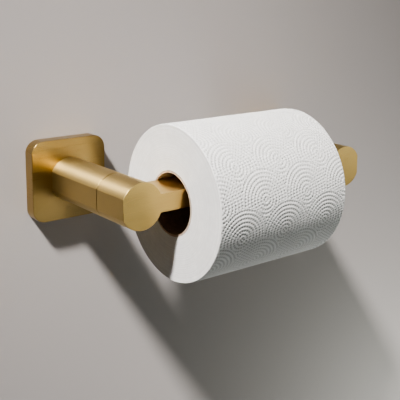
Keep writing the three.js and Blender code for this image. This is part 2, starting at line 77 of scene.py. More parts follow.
# ------------------------------------------------------------------ sizes that no box gives, in metres
BAR_TOP = 0.0057  # half the bar's height
PLATE_CORNER = 0.0086
PLATE_RIM = 0.0026
PLATE_FACE = 0.0034  # thickness of the plate in front of its hollow
PLATE_EDGE = 0.0004  # rounding of the plate's front edge
PLATE_BACK_EDGE = 0.0002
POST_BORE = 0.0085
MOUTH_END = -0.02  # a y in front of the plate
POST_WEB = 0.008  # solid metal at the post's front end
POST_BACK_EDGE = 0.00005
BUSH_HOLE = 0.0048  # through the left post's web
BUSH_SEAT = 0.00665
BUSH_SEAT_DEPTH = 0.001
SCREW_HOLE = 0.00315  # through the right post's web
SPINDLE_HOLE = 0.00305  # into the backs of the cap and the head
SPINDLE_DEPTH = 0.01305
HEAD_SCREW_DEPTH = 0.01205
SPIGOT_RADIUS = 0.0105
NOTCH_PAST = 0.003  # how far the notch's cutter runs past both ends of the head
CORE_WALL = 0.0013
EDGE = 0.0002  # rounding of the brass pieces' ends
CREASE = 0.0003  # rounding where a flat meets the round
PAST = 0.001  # how far a cutter runs past a face

# ------------------------------------------------------------------ camera
CAMERA_PLACE = Vector((LEFT_X - 0.25098, -0.47214, 0.12928))
CAMERA_YAW = math.radians(37.904)
CAMERA_PITCH = math.radians(-9.79)
CAMERA_ROLL = math.radians(0.252)
CAMERA_LENS = 72.33
CAMERA_SHIFT = -0.2


def add_camera():
    """A camera at the photo's viewing angle, shifted only to frame the object as the photo does."""
    data = bpy.data.cameras.new("camera")
    data.lens = CAMERA_LENS
    data.sensor_width = 36
    data.shift_y = CAMERA_SHIFT
    data.clip_start = 0.01
    data.clip_end = 20
    camera = bpy.data.objects.new("camera", data)
    forward = Vector((
        math.sin(CAMERA_YAW) * math.cos(CAMERA_PITCH),
        math.cos(CAMERA_YAW) * math.cos(CAMERA_PITCH),
        math.sin(CAMERA_PITCH),
    ))
    level = Vector((math.cos(CAMERA_YAW), -math.sin(CAMERA_YAW), 0))
    above = level.cross(forward)
    right = level * math.cos(CAMERA_ROLL) + above * math.sin(CAMERA_ROLL)
    up = above * math.cos(CAMERA_ROLL) - level * math.sin(CAMERA_ROLL)
    turn = Matrix((right, up, -forward)).transposed()
    camera.matrix_world = Matrix.Translation(CAMERA_PLACE) @ turn.to_4x4()
    bpy.context.collection.objects.link(camera)
    bpy.context.scene.camera = camera


# ------------------------------------------------------------------ node helpers
class Nodes:
    """A material's node tree, with short calls for the nodes used here."""

    def __init__(self, name):
        self.material = bpy.data.materials.new(name)
        self.material.use_nodes = True
        self.tree = self.material.node_tree
        self.shader = self.tree.nodes["Principled BSDF"]
        self.output = self.tree.nodes["Material Output"]

    def add(self, kind, links=None, **values):
        node = self.tree.nodes.new(kind)
        for key, value in values.items():
            setattr(node, key, value)
        for socket, value in (links or {}).items():
            self.set(node, socket, value)
        return node

    def set(self, node, socket, value):
        target = node.inputs[socket]
        if isinstance(value, bpy.types.NodeSocket):
            self.tree.links.new(value, target)
        else:
            target.default_value = value

    def place(self, scale):
        """The object's own coordinates, in metres, times a scale along each axis."""
        coordinates = self.add("ShaderNodeTexCoord").outputs["Object"]
        return self.add("ShaderNodeMapping", {"Vector": coordinates, "Scale": scale}).outputs[0]

    def noise(self, vector, scale, detail=4.0, roughness=0.55):
        links = {"Vector": vector, "Scale": scale, "Detail": detail, "Roughness": roughness}
        return self.add("ShaderNodeTexNoise", links).outputs["Fac"]

    def ramp(self, value, stops):
        node = self.add("ShaderNodeValToRGB", {"Fac": value})
        elements = node.color_ramp.elements
        while len(elements) < len(stops):
            elements.new(0.5)
        for element, (position, color) in zip(elements, stops):
            element.position = position
            element.color = (*color, 1) if len(color) == 3 else color
        return node.outputs["Color"]

    def range(self, value, low, high, from_low=0.0, from_high=1.0):
        links = {
            "Value": value, "From Min": from_low, "From Max": from_high, "To Min": low, "To Max": high,
        }
        return self.add("ShaderNodeMapRange", links).outputs[0]

    def math(self, operation, a, b=0.0):
        return self.add("ShaderNodeMath", {0: a, 1: b}, operation=operation).outputs[0]

    def mix(self, factor, a, b):
        """Mixes two colours: sockets 0, 6 and 7 are a colour mix's factor and its two colours."""
        return self.add("ShaderNodeMix", {0: factor, 6: a, 7: b}, data_type="RGBA").outputs[2]

    def bump(self, height, distance, strength=1.0, normal=None):
        links = {"Height": height, "Distance": distance, "Strength": strength}
        if normal is not None:
            links["Normal"] = normal
        return self.add("ShaderNodeBump", links).outputs["Normal"]

    def finish(self, **sockets):
        for name, value in sockets.items():
            self.set(self.shader, name.replace("_", " "), value)
        return self.material


# ------------------------------------------------------------------ materials
# brass: its colours, and tints that make lit and shaded copies of the one brass: painted light on the
# turned faces, a little painted shade on the faced ends and much painted shade on the plates
BRASS_COLOR = (0.535, 0.385, 0.155)
BRASS_WARM = (0.575, 0.41, 0.16)
BRASS_STREAK = (0.38, 0.26, 0.095)
BRASS_GLINT = (0.78, 0.60, 0.30)
TURNED_LIT_TINT = (1.11, 1.15, 1.22)
FACED_SHADE_TINT = (0.95, 0.93, 0.87)
PLATE_SHADE_TINT = (0.67, 0.655, 0.62)


def tinted(color, tint):
    return tuple(c * t for c, t in zip(color, tint)) + (1,)


def brushed_brass(name, grain, rough, tint, stretch=0.0):
    """Satin brass. grain holds the brush marks' fineness along each axis, per metre, tint lightens or
    darkens the whole piece as painted light and shade, and stretch how far the marks draw highlights out
    along Y."""
    n = Nodes(name)
    if stretch:
        along = n.add("ShaderNodeCombineXYZ", {"X": 0.02, "Y": 1.0, "Z": 0.03}).outputs[0]
        n.set(n.shader, "Tangent", along)
    fine = n.noise(n.place(grain), 1.0, detail=3.0, roughness=0.6)
    coarse = n.noise(n.place(tuple(g * 0.33 for g in grain)), 1.0, detail=2.0)
    cloud = n.noise(n.place((1, 1, 1)), 38.0, detail=3.0)
    # Paler brass on the sharp convex edges, found by Pointiness: a painted edge highlight.
    edge = n.add("ShaderNodeNewGeometry").outputs["Pointiness"]
    edge_glint = n.range(edge, 0.0, 1.0, 0.52, 0.62)
    tone = n.ramp(cloud, [(0.35, tinted(BRASS_COLOR, tint)), (0.7, tinted(BRASS_WARM, tint))])
    streaked = n.mix(n.range(fine, 0.0, 0.22, 0.3, 0.8), tone, tinted(BRASS_STREAK, tint))
    color = n.mix(n.math("MULTIPLY", edge_glint, 0.5), streaked, tinted(BRASS_GLINT, tint))
    marks = n.math("ADD", n.math("MULTIPLY", fine, 0.6), n.math("MULTIPLY", coarse, 0.4))
    varied = n.range(marks, rough - 0.06, rough + 0.07, 0.25, 0.75)
    rough = n.math("ADD", varied, n.range(cloud, -0.03, 0.03))
    normal = n.bump(marks, 0.00002, 0.55)
    return n.finish(
        Base_Color=color, Metallic=1.0, Roughness=rough, Normal=normal, Anisotropic=stretch,
    )


def plain_metal(name, color, rough):
    """Plated metal with a fine tooth and a cloudy tone."""
    n = Nodes(name)
    fine = n.noise(n.place((900, 900, 900)), 1.0, detail=4.0)
    cloud = n.noise(n.place((1, 1, 1)), 160.0, detail=3.0)
    dark = tuple(c * 0.72 for c in color)
    tone = n.ramp(cloud, [(0.3, dark), (0.7, color)])
    roughness = n.range(fine, rough - 0.08, rough + 0.1, 0.3, 0.7)
    return n.finish(
        Base_Color=tone, Metallic=1.0, Roughness=roughness,
        Normal=n.bump(fine, 0.00003, 0.5),
    )


def cast_zinc():
    """Matt grey castings with a sandy surface."""
    n = Nodes("cast_zinc")
    grit = n.noise(n.place((1, 1, 1)), 1400.0, detail=5.0)
    cloud = n.noise(n.place((1, 1, 1)), 90.0, detail=3.0)
    tone = n.ramp(cloud, [(0.3, (0.36, 0.36, 0.37)), (0.75, (0.56, 0.56, 0.57))])
    return n.finish(
        Base_Color=tone, Metallic=1.0, Roughness=n.range(grit, 0.42, 0.62, 0.3, 0.7),
        Normal=n.bump(grit, 0.00006, 0.6),
    )


def moulded(name, color, rough=0.5):
    """Moulded plastic or rubber with a fine grit."""
    n = Nodes(name)
    grit = n.noise(n.place((1, 1, 1)), 2600.0, detail=3.0)
    cloud = n.noise(n.place((1, 1, 1)), 120.0, detail=2.0)
    dark = tuple(c * 0.86 for c in color)
    tone = n.ramp(cloud, [(0.3, dark), (0.7, color)])
    return n.finish(
        Base_Color=tone, Roughness=n.range(grit, rough - 0.06, rough + 0.08, 0.3, 0.7),
        Normal=n.bump(grit, 0.00002, 0.5),
    )


def tissue_paper(name, fibre, wound=False):
    """Soft white tissue: short fibres, pulp specks and a faint tooth. Wound tissue shows the edges
    of its turns as fine rings about the roll's axis."""
    n = Nodes(name)
    fibres = n.noise(n.place((1, 1, 1)), 2600.0, detail=6.0, roughness=0.65)
    pulp = n.noise(n.place((1, 1, 1)), 240.0, detail=4.0, roughness=0.6)
    tone = n.ramp(pulp, [(0.3, (0.77, 0.76, 0.745)), (0.7, (0.84, 0.83, 0.815))])
    color = n.mix(n.range(fibres, 0.0, 0.12, 0.5, 0.85), tone, (0.66, 0.65, 0.63, 1))
    # Painted shade: the tone darkens towards grey with the embossing's depth stored on the mesh, so the
    # pits read darker.
    pit_shade = n.add("ShaderNodeAttribute", attribute_name="pit_shade").outputs["Fac"]
    color = n.mix(n.math("MULTIPLY", pit_shade, 0.9), color, (0.42, 0.41, 0.40, 1))
    normal = n.bump(fibres, 0.00006, fibre)
    if wound:
        place = n.add("ShaderNodeTexCoord").outputs["Object"]
        from_axis = n.add("ShaderNodeVectorMath", {0: place, 1: ROLL_CENTRE}, operation="SUBTRACT")
        values = {0: from_axis.outputs[0], 1: (0, 1, 1)}
        across = n.add("ShaderNodeVectorMath", values, operation="MULTIPLY")
        radius = n.add("ShaderNodeVectorMath", {0: across.outputs[0]}, operation="LENGTH").outputs["Value"]
        links = {"W": radius, "Scale": 1500.0, "Detail": 3.0, "Roughness": 0.7}
        turns = n.add("ShaderNodeTexNoise", links, noise_dimensions="1D").outputs["Fac"]
        color = n.mix(n.range(turns, 0.0, 0.55, 0.42, 0.72), color, (0.58, 0.565, 0.55, 1))
        mottle = n.noise(n.place((1, 1, 1)), 75.0, detail=5.0, roughness=0.7)
        color = n.mix(n.range(mottle, 0.0, 0.35, 0.42, 0.68), color, (0.62, 0.605, 0.60, 1))
        normal = n.bump(turns, 0.0001, 0.6, normal)
    return n.finish(
        Base_Color=color, Roughness=n.range(fibres, 0.82, 0.98, 0.3, 0.7), Normal=normal,
        Sheen_Weight=0.12, Sheen_Roughness=0.6, Specular_IOR_Level=0.25,
    )


def cardboard(name, dark, pale):
    """Grey-brown board with dark flecks. The tube's walls get a darker copy than its cut ends: painted
    shade for the tube's shaded inside.
    """
    n = Nodes(name)
    fibres = n.noise(n.place((260, 2200, 2200)), 1.0, detail=6.0, roughness=0.65)
    cloud = n.noise(n.place((1, 1, 1)), 420.0, detail=4.0)
    flecks = n.noise(n.place((1, 1, 1)), 1500.0, detail=2.0)
    tone = n.ramp(cloud, [(0.3, dark), (0.72, pale)])
    tone = n.mix(n.range(fibres, 0.0, 0.5, 0.45, 0.8), tone, (0.20, 0.135, 0.095, 1))
    color = n.mix(n.range(flecks, 0.0, 0.8, 0.60, 0.68), tone, (0.13, 0.075, 0.05, 1))
    return n.finish(
        Base_Color=color, Roughness=n.range(fibres, 0.8, 0.95, 0.3, 0.7),
        Normal=n.bump(fibres, 0.00008, 0.6), Specular_IOR_Level=0.25,
    )


# ------------------------------------------------------------------ mesh helpers
ON_AXIS = 1e-7  # a radius smaller than this is a point on the axis


def new_object(name, mesh, material):
    piece = bpy.data.objects.new(name, mesh)
    bpy.context.collection.objects.link(piece)
    mesh.materials.append(material)
    return piece


def mesh_of(name, points, faces):
    mesh = bpy.data.meshes.new(name)
    mesh.from_pydata([tuple(p) for p in points], [], faces)
    mesh.validate()
    bm = bmesh.new()
    bm.from_mesh(mesh)
    bmesh.ops.recalc_face_normals(bm, faces=bm.faces)
    bm.to_mesh(mesh)
    bm.free()
    return mesh


def face_material(piece, material):
    """Gives the faces that look along Y a second material."""
    mesh = piece.data
    mesh.materials.append(material)
    normals = np.zeros(len(mesh.polygons) * 3, np.float32)
    mesh.polygons.foreach_get("normal", normals)
    facing = (np.abs(normals.reshape(-1, 3)[:, 1]) > 0.9).astype(np.int32)
    mesh.polygons.foreach_set("material_index", facing)


def smooth(piece, degrees=24):
    """Smooth shading, with every edge sharper than an angle left crisp, and flat faces kept flat."""
    mesh = piece.data
    mesh.shade_smooth()
    mesh.set_sharp_from_angle(angle=math.radians(degrees))
    weighted = piece.modifiers.new("flat_faces", "WEIGHTED_NORMAL")
    weighted.keep_sharp = True
    weighted.weight = 100
    apply_modifiers(piece)


def apply_modifiers(piece):
    graph = bpy.context.evaluated_depsgraph_get()
    made = bpy.data.meshes.new_from_object(piece.evaluated_get(graph))
    old = piece.data
    piece.modifiers.clear()
    piece.data = made
    made.name = piece.name
    bpy.data.meshes.remove(old)


def carve(piece, *cutters):
    """Cuts each cutter out of a piece and deletes it."""
    for cutter in cutters:
        change = piece.modifiers.new("cut", "BOOLEAN")
        change.operation = "DIFFERENCE"
        change.solver = "EXACT"
        change.object = cutter
    apply_modifiers(piece)
    for cutter in cutters:
        bpy.data.meshes.remove(cutter.data)


def fuse(piece, *others):
    """Joins other pieces into a piece and deletes them."""
    for other in others:
        change = piece.modifiers.new("join", "BOOLEAN")
        change.operation = "UNION"
        change.solver = "EXACT"
        change.object = other
    apply_modifiers(piece)
    for other in others:
        bpy.data.meshes.remove(other.data)


def arc(x, z, radius, start, end, steps):
    """Points on an arc, in degrees, with both ends."""
    angles = [math.radians(start + (end - start) * i / steps) for i in range(steps + 1)]
    return [(x + radius * math.cos(a), z + radius * math.sin(a)) for a in angles]


def inset(outline, distance):
    """An anticlockwise outline moved inwards."""
    count = len(outline)
    moved = []
    for i, (x, z) in enumerate(outline):
        before = Vector(outline[i - 1])
        here = Vector((x, z))
        after = Vector(outline[(i + 1) % count])
        first = (here - before).normalized()
        second = (after - here).normalized()
        normal = Vector((first.y + second.y, -first.x - second.x)).normalized()
        stretch = normal.dot(Vector((first.y, -first.x)))
        moved.append(tuple(here - normal * distance / max(stretch, 0.3)))
    return moved


def prism(name, outline, back, front, back_edge, front_edge, material, steps=4, shift=(0, 0)):
    """An outline in (x, z) run from a back y to a front y, with rounded edges at both ends."""
    rows = []
    for i in range(steps + 1):
        turn = math.pi / 2 * i / steps
        rows.append((back_edge * (1 - math.sin(turn)), back - back_edge * (1 - math.cos(turn))))
    for i in range(steps + 1):
        turn = math.pi / 2 * i / steps
        rows.append((front_edge * (1 - math.cos(turn)), front + front_edge * (1 - math.sin(turn))))
    points = []
    for distance, y in rows:
        shape = inset(outline, distance) if distance > 1e-9 else outline
        points += [(x + shift[0], y, z + shift[1]) for x, z in shape]
    count = len(outline)
    faces = [list(range(count)), list(range(len(points) - count, len(points)))]
    for row in range(len(rows) - 1):
        for i in range(count):
            a = row * count + i
            b = row * count + (i + 1) % count
            faces.append([a, b, b + count, a + count])
    return new_object(name, mesh_of(name, points, faces), material)


def turned(name, profile, material, centre, steps):
    """A closed profile of (radius, y), turned about an axis along Y through a centre (x, z)."""
    middle = Vector((centre[0], 0, centre[1]))
    points, rings = [], []
    for radius, along in profile:
        if radius < ON_AXIS:
            rings.append([len(points)] * steps)
            points.append(Vector((0, along, 0)) + middle)
            continue
        rings.append(list(range(len(points), len(points) + steps)))
        for i in range(steps):
            angle = 2 * math.pi * i / steps
            point = Vector((radius * math.cos(angle), along, radius * math.sin(angle)))
            points.append(point + middle)
    faces = []
    closed = profile[0][0] > ON_AXIS
    pairs = list(zip(rings, rings[1:] + rings[:1])) if closed else list(zip(rings, rings[1:]))
    for lower, upper in pairs:
        for i in range(steps):
            corners = [lower[i], lower[(i + 1) % steps], upper[(i + 1) % steps], upper[i]]
            corners = list(dict.fromkeys(corners))
            if len(corners) > 2:
                faces.append(corners)
    return new_object(name, mesh_of(name, points, faces), material)


def round_cutter(radius, start, end, centre_x, material, steps):
    """A plain cylinder along Y from a start y to an end y, at the posts' height."""
    profile = [(0, start), (radius, start), (radius, end), (0, end)]
    return turned("cutter", profile, material, (centre_x, 0), steps)


# ------------------------------------------------------------------ outlines
def rounded_square(width, height, radius, steps=16):
    x, z = width / 2 - radius, height / 2 - radius
    return (
        arc(x, z, radius, 0, 90, steps) + arc(-x, z, radius, 90, 180, steps)
        + arc(-x, -z, radius, 180, 270, steps) + arc(x, -z, radius, 270, 360, steps)
    )


def flat_edges():
    """Where the flat on the left side meets the round, with a small fillet, top to bottom."""
    reach = POST_RADIUS - CREASE
    x = -(POST_FLAT - CREASE)
    z = math.sqrt(reach ** 2 - x ** 2)
    lean = math.degrees(math.atan2(z, x))
    top = arc(x, z, CREASE, lean, 180, 4)
    bottom = arc(x, -z, CREASE, 180, 360 - lean, 4)
    return lean, top, bottom


def flatted_round(side, steps=120):
    """The posts' outline: a round with a flat on the left (side -1) or right (side 1)."""
    lean, top, bottom = flat_edges()
    outline = arc(0, 0, POST_RADIUS, -lean, lean, steps)[1:-1] + top + bottom
    return outline if side < 0 else [(-x, z) for x, z in reversed(outline)]


def arm_outline():
    """The cap and the bar in one outline."""
    lean, top, bottom = flat_edges()
    start = math.degrees(math.asin(BAR_TOP / POST_RADIUS))
    end = BAR_END - CREASE
    nose = arc(end, -BAR_TOP + CREASE, CREASE, 270, 360, 4) + arc(end, BAR_TOP - CREASE, CREASE, 0, 90, 4)
    over = arc(0, 0, POST_RADIUS, start, lean, 52)[:-1]
    under = arc(0, 0, POST_RADIUS, 360 - lean, 360 - start, 52)[1:]
    return nose + over + top + bottom + under


# ------------------------------------------------------------------ brass pieces
def backplate(side, material):
    """A hollow square plate with rounded corners, open at the back."""
    x = LEFT_X if side < 0 else RIGHT_X
    name = "left" if side < 0 else "right"
    outline = rounded_square(PLATE_SIZE, PLATE_SIZE, PLATE_CORNER)
    plate = prism(
        f"{name}_plate_shell", outline, 0, -PLATE_DEPTH, PLATE_BACK_EDGE, PLATE_EDGE, material,
        shift=(x, 0),
    )
    pocket_size = PLATE_SIZE - 2 * PLATE_RIM
    pocket_outline = rounded_square(pocket_size, pocket_size, PLATE_CORNER - PLATE_RIM, 10)
    floor = -(PLATE_DEPTH - PLATE_FACE)
    pocket = prism("pocket", pocket_outline, 2 * PAST, floor, 0.0001, 0.0005, material, shift=(x, 0))
    mouth = round_cutter(POST_BORE, PAST, MOUTH_END, x, material, 64)
    carve(plate, pocket, mouth)
    smooth(plate)
    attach(plate, "root")
    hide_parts(f"{name}_backplate")


def post(side, material, face):
    """A round post with a flat on its outer side, bored from the back. The left one seats the bush."""
    x = LEFT_X if side < 0 else RIGHT_X
    name = "left" if side < 0 else "right"
    body = prism(
        f"{name}_post_body", flatted_round(side), POST_BACK, POST_FRONT, POST_BACK_EDGE, EDGE, material,
        shift=(x, 0),
    )
    web = POST_FRONT + POST_WEB
    end = POST_FRONT - PAST
    bore = round_cutter(POST_BORE, PAST, web, x, material, 64)
    hole = round_cutter(BUSH_HOLE if side < 0 else SCREW_HOLE, web + PAST, end, x, material, 48)
    cutters = [bore, hole]
    if side < 0:
        seat = POST_FRONT + BUSH_SEAT_DEPTH
        cutters.append(round_cutter(BUSH_SEAT, seat, end, x, material, 48))
    carve(body, *cutters)
    face_material(body, face)
    smooth(body)
    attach(body, "root")
    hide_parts(f"{name}_post")


def swing_arm(material, face):
    """The left cap and the bar, in one piece, with the spindle's hole in the cap's back."""
    outline = arm_outline()
    body = prism("arm_body", outline, ARM_BACK, ARM_FRONT, EDGE, EDGE, material, shift=(LEFT_X, 0))
    hole = round_cutter(SPINDLE_HOLE, ARM_BACK + PAST, ARM_BACK - SPINDLE_DEPTH, LEFT_X, material, 48)
    carve(body, hole)
    face_material(body, face)
    smooth(body)
    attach(body, "arm")
    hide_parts("arm")


def rest_head(material, face):
    """The right head, with a spigot into its post and a notch that the bar's end lies in."""
    outline = flatted_round(1)
    body = prism("head_body", outline, ARM_BACK, ARM_FRONT, EDGE, EDGE, material, shift=(RIGHT_X, 0))
    spigot_end = HEAD_HI.y
    spigot = round_cutter(SPIGOT_RADIUS, spigot_end, ARM_BACK - PAST, RIGHT_X, material, 64)
    fuse(body, spigot)
    wall = PAD_HI.x + 0.0004
    ledge = PAD_LO.z - 0.00005
    reach = POST_RADIUS + 2 * PAST
    outline = [
        (-reach, ledge), (wall - RIGHT_X, ledge), (wall - RIGHT_X, reach), (-reach, reach),
    ]
    notch = prism(
        "notch", outline, ARM_BACK + NOTCH_PAST, ARM_FRONT - NOTCH_PAST, 0, 0, material, shift=(RIGHT_X, 0),
    )
    deep = ARM_BACK - HEAD_SCREW_DEPTH
    hole = round_cutter(SPINDLE_HOLE, spigot_end + PAST, deep, RIGHT_X, material, 48)
    carve(body, notch, hole)
    face_material(body, face)
    smooth(body)
    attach(body, "root")
    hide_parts("right_head")


# ------------------------------------------------------------------ roll of tissue
SCALE_RADIUS = 20.0  # of one scale of the embossed pattern, in mm
SCALE_HALF = 17.3  # half the distance between neighbours in a row, in mm
SCALE_ROWS = 14
SCALE_TURN = math.radians(17)  # how far the rows start below the roll's front
RING_PITCH = 2.47  # between a scale's rings, in mm
DOT_PITCH = 1.95  # between the dots on a ring, in mm
EMBOSS_DEPTH = 0.00085
PLAIN_END = 1.2  # over which the embossing fades at each end, in mm
ROUND_END = 0.9  # over which the outer turn's edge is rounded, in mm
ROUND_DEPTH = 0.00045
PAPER_INSET = 0.0001
LUMP_DEPTH = 0.00016
TURN_PITCH = 1.3  # between the ridges on the end faces, in mm
TURN_DEPTH = 0.00009
CORE_GAP = 0.0001
CORE_HELIX = 0.075  # that one turn of the core's spiral winding takes
CORE_STEP = 0.0001
RAG_DEPTH = 0.00016


def emboss(u, v):
    """Depth from 0 to 1 of the embossing at u along the roll and v down around it, in mm.

    Staggered rows of scales, each of nested rings of dots. A lower row covers the one above."""
    pitch = 2 * math.pi * ROLL_RADIUS * 1000 / SCALE_ROWS
    shifted = v - SCALE_TURN * ROLL_RADIUS * 1000
    above = np.floor(shifted / pitch)
    depth = np.zeros_like(u)
    covered = np.zeros(u.shape, bool)
    for row in (above + 1, above):
        stagger = (1 - row % 2) * SCALE_HALF
        across = u - stagger
        across = across - np.round(across / (2 * SCALE_HALF)) * 2 * SCALE_HALF
        down = shifted - row * pitch
        distance = np.hypot(across, down)
        ring = np.floor(distance / RING_PITCH)
        middle = (ring + 0.5) * RING_PITCH
        over = 0.5 + 0.5 * np.cos((distance - middle) / RING_PITCH * 2 * math.pi)
        dots = np.maximum(np.round(2 * math.pi * middle / DOT_PITCH), 1)
        along = 0.5 + 0.5 * np.cos(np.arctan2(down, across) * dots + ring * 1.7)
        dot = (over * (0.2 + 0.8 * along)) ** 1.4
        depth = np.where(covered, depth, dot)
        covered = covered | (distance <= SCALE_RADIUS)
    return depth


def paper_roll(side_material, material):
    """The wound tissue: an embossed outer turn, and end faces that show the edges of the turns."""
    rng = np.random.default_rng(SEED)
    length = ROLL_LENGTH * 1000
    around, across = 840, 280
    angle = np.arange(around) / around * 2 * math.pi
    v = angle * ROLL_RADIUS * 1000
    u = np.linspace(0, length, across)
    grid_u, grid_v = np.meshgrid(u, v, indexing="ij")
    depth = emboss(grid_u, grid_v)
    from_end = np.minimum(grid_u, length - grid_u)
    ends = np.clip(from_end / PLAIN_END, 0, 1)
    lump = wave_noise(rng, grid_u / length, grid_v / v[-1], 5)
    radius = ROLL_RADIUS - PAPER_INSET - EMBOSS_DEPTH * depth * ends - LUMP_DEPTH * (0.5 + 0.5 * lump)
    round_off = np.clip(1 - from_end / ROUND_END, 0, 1)
    radius = radius - ROUND_DEPTH * round_off ** 2
    x = ROLL_LO.x + grid_u / 1000
    y = ROLL_CENTRE.y - radius * np.cos(grid_v / (ROLL_RADIUS * 1000))
    z = ROLL_CENTRE.z - radius * np.sin(grid_v / (ROLL_RADIUS * 1000))
    outer = np.stack([x, y, z], axis=-1)

    rings = 74
    inner_radius = CORE_RADIUS + CORE_GAP
    sheets = [outer]
    for end, sign in ((0, 1), (across - 1, -1)):
        rim = np.hypot(outer[end, :, 1] - ROLL_CENTRE.y, outer[end, :, 2] - ROLL_CENTRE.z)
        share = np.linspace(1, 0, rings)[:, None]
        r = inner_radius + (rim[None, :] - inner_radius) * share
        turn = angle[None, :]
        turns = r * 1000 / TURN_PITCH + turn / (2 * math.pi)
        ridge = 0.5 + 0.5 * np.cos(turns * 2 * math.pi)
        slow = wave_noise(rng, share * np.ones_like(turn), turn / (2 * math.pi) * np.ones_like(share), 4)
        sink = TURN_DEPTH * ridge + LUMP_DEPTH * (0.5 + 0.5 * slow)
        sink = sink * np.clip((1 - share) * 20, 0, 1)
        px = outer[end, 0, 0] + sign * sink
        py = ROLL_CENTRE.y - r * np.cos(turn)
        pz = ROLL_CENTRE.z - r * np.sin(turn)
        sheets.append(np.stack([px, py, pz], axis=-1))

    points = [outer.reshape(-1, 3)]
    total = outer.shape[0] * around
    faces = grid_faces(across, around, 0)
    starts = []
    for end, sheet in zip((0, across - 1), sheets[1:]):
        below = sheet[1:].reshape(-1, 3)
        start = total
        starts.append(start)
        points.append(below)
        total += len(below)
        for i in range(around):
            j = (i + 1) % around
            a, b = end * around + i, end * around + j
            faces.append([a, b, start + j, start + i])
        faces += grid_faces(rings - 1, around, start)
    last = [start + (rings - 2) * around for start in starts]
    for i in range(around):
        j = (i + 1) % around
        faces.append([last[0] + i, last[0] + j, last[1] + j, last[1] + i])
    mesh = mesh_of("tissue", np.concatenate(points), faces)
    # The embossing's depth, kept on the mesh for the painted shade in the pits.
    pit_shade = np.zeros(len(mesh.vertices), np.float32)
    pit_shade[: depth.size] = (depth * ends).ravel()
    mesh.attributes.new("pit_shade", "FLOAT", "POINT").data.foreach_set("value", pit_shade)
    piece = new_object("tissue_paper_roll", mesh, material)
    mesh.materials.append(side_material)
    mark_sides(mesh)
    mesh.shade_smooth()
    mesh.set_sharp_from_angle(angle=math.radians(58))
    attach(piece, "roll")
    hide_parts("tissue_roll")


def mark_sides(mesh):
    """Gives the faces that look along X the mesh's second material."""
    normals = np.zeros(len(mesh.polygons) * 3, np.float32)
    mesh.polygons.foreach_get("normal", normals)
    side = (np.abs(normals.reshape(-1, 3)[:, 0]) > 0.8).astype(np.int32)
    mesh.polygons.foreach_set("material_index", side)


def grid_faces(rows, columns, start):
    """Quads over rows of points, each row a closed ring."""
    faces = []
    for row in range(rows - 1):
        base = start + row * columns
        for i in range(columns):
            j = (i + 1) % columns
            faces.append([base + i, base + j, base + columns + j, base + columns + i])
    return faces


def wave_noise(rng, a, b, count):
    """A smooth field from -1 to 1 that closes on itself where b runs from 0 to 1."""
    total = np.zeros(np.broadcast(a, b).shape)
    for _ in range(count):
        along = rng.uniform(0.6, 3.0)
        turns = rng.integers(1, 6)
        total += np.cos(2 * math.pi * (along * a + turns * b) + rng.uniform(0, 2 * math.pi))
    return total / count


def paper_core(material, cut_material):
    """The cardboard tube, with the step of its spiral winding and slightly ragged ends."""
    rng = np.random.default_rng(SEED + 1)
    around, across = 180, 70
    outer_radius = CORE_RADIUS - 0.00005
    inner_radius = CORE_RADIUS - CORE_WALL + 0.00004
    length = ROLL_LENGTH
    angle = np.arange(around) / around * 2 * math.pi
    rag = sum(
        rng.uniform(0.3, 1) * np.cos(angle * k + rng.uniform(0, 6.28)) for k in (5, 9, 16, 27, 41)
    )
    rag = RAG_DEPTH * (rag - rag.min()) / np.ptp(rag)
    loops = []
    for radius, ends in ((outer_radius, (0, across - 1)), (inner_radius, (across - 1, 0))):
        places = range(across) if ends[0] == 0 else range(across - 1, -1, -1)
        for place in places:
            share = place / (across - 1)
            pull = rag * (1 if place in (0, across - 1) else 0)
            x = ROLL_LO.x + np.clip(share * length, 0, length) + np.where(share < 0.5, pull, -pull)
            helix = (angle / (2 * math.pi) - share * length / CORE_HELIX) % 1.0
            step = CORE_STEP * np.clip(1 - helix * 26, 0, 1) if radius == inner_radius else 0
            r = radius + step
            y = ROLL_CENTRE.y - r * np.cos(angle)
            z = ROLL_CENTRE.z - r * np.sin(angle)
            loops.append(np.stack([x, y, z], axis=-1))
    points = np.concatenate(loops)
    rows = len(loops)
    faces = []
    for row in range(rows):
        base, upper = row * around, ((row + 1) % rows) * around
        for i in range(around):
            j = (i + 1) % around
            faces.append([base + i, base + j, upper + j, upper + i])
    mesh = mesh_of("core", points, faces)
    piece = new_object("core_tube", mesh, material)
    mesh.materials.append(cut_material)
    mark_sides(mesh)
    mesh.shade_smooth()
    mesh.set_sharp_from_angle(angle=math.radians(50))
    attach(piece, "roll")
    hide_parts("cardboard_core")


# ------------------------------------------------------------------ wall screws and anchors
THREAD_PITCH = 0.0024
THREAD_ROOT = 0.00135
SCREW_TIP = 0.004
SLOT_HALF = 0.00042
SLOT_DEPTH = 0.0019
SCREW_CREST = 0.002
ANCHOR_BORE = 0.0023
ANCHOR_ROOT = 0.0026
ANCHOR_CREST = 0.003
RIB_PITCH = 0.0023
SLIT_HALF = 0.00035
SLIT_REACH = 0.005
SLIT_START = 0.009  # from the anchor's mouth


def with_shell(piece, other):
    """Adds another piece's closed shell to a piece's mesh and deletes the other."""
    joined = bmesh.new()
    joined.from_mesh(piece.data)
    joined.from_mesh(other.data)
    joined.to_mesh(piece.data)
    joined.free()
    bpy.data.meshes.remove(other.data)


